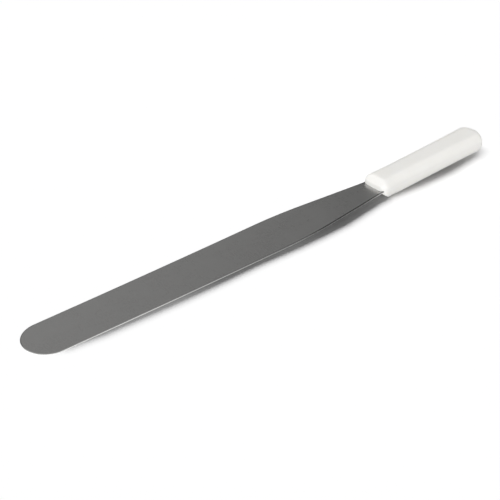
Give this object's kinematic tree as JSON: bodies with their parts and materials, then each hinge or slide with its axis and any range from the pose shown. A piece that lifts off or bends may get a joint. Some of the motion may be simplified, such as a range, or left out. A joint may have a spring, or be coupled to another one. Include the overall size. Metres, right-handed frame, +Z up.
{
  "type": "baking spatula",
  "caption": "Straight baker's spatula: a long, flexible, round-tipped steel blade that tapers into a smooth white moulded handle, for spreading icing and lifting cakes.",
  "frame": {"origin": "on the table, under the middle of the bounding box of the spatula as it lies", "axes": "+X along the spatula from the blade's tip to the handle's butt, +Z up from the table, +Y across the blade"},
  "size_m": [0.4894, 0.0442, 0.0254],
  "materials": {
    "blade_steel": "satin ground stainless steel, fine cross grain",
    "handle_plastic": "smooth satin moulded polypropylene"
  },
  "bodies": {
    "root": {"blade": "blade_steel", "handle": "handle_plastic"}
  },
  "joints": []
}
